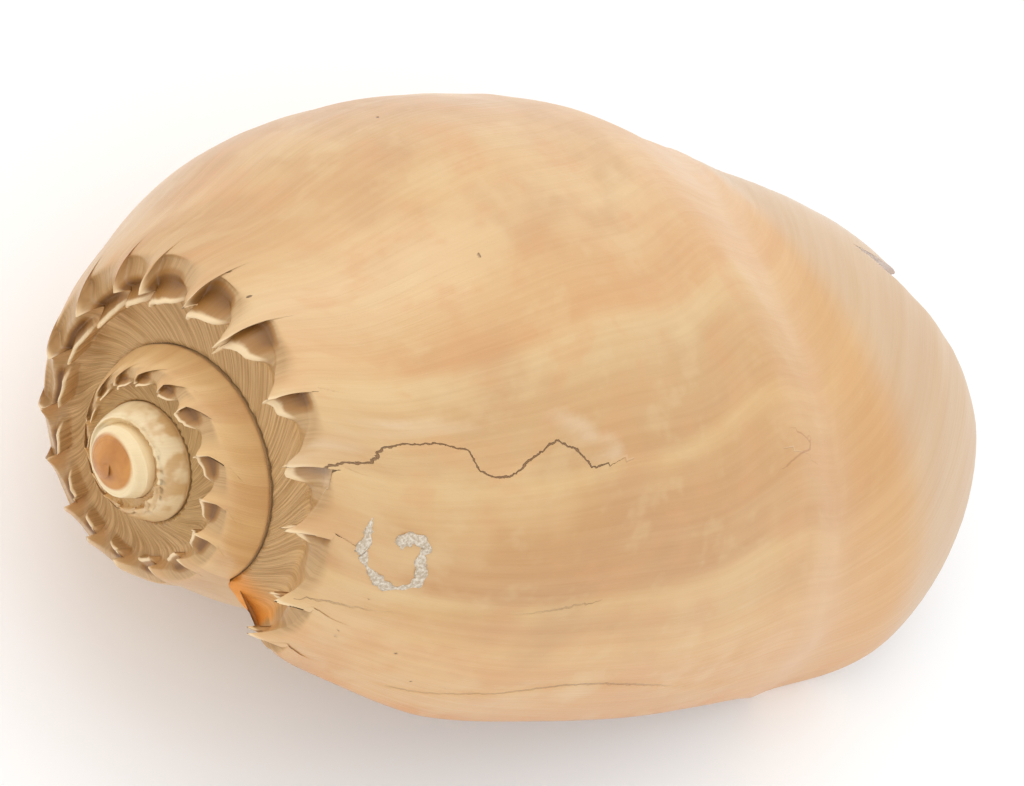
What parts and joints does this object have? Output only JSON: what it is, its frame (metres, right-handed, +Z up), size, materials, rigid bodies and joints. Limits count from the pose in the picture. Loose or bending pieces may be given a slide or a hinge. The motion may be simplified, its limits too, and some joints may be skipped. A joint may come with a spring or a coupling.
{
  "type": "melon shell",
  "caption": "Large inflated sea snail shell with a low spire, a crown of hollow shoulder spines and a wide aperture, resting aperture down.",
  "frame": {"origin": "middle of the bounding box in plan, on the plane that the shell rests on", "axes": "+X from the spire towards the front end of the shell, +Y away from the outer lip, +Z up with the aperture facing down"},
  "size_m": [0.2515, 0.1726, 0.1354],
  "materials": {
    "shell_surface": "satin glossy natural shell, cream and orange growth bands"
  },
  "bodies": {
    "root": {"shell": "shell_surface"}
  },
  "joints": []
}
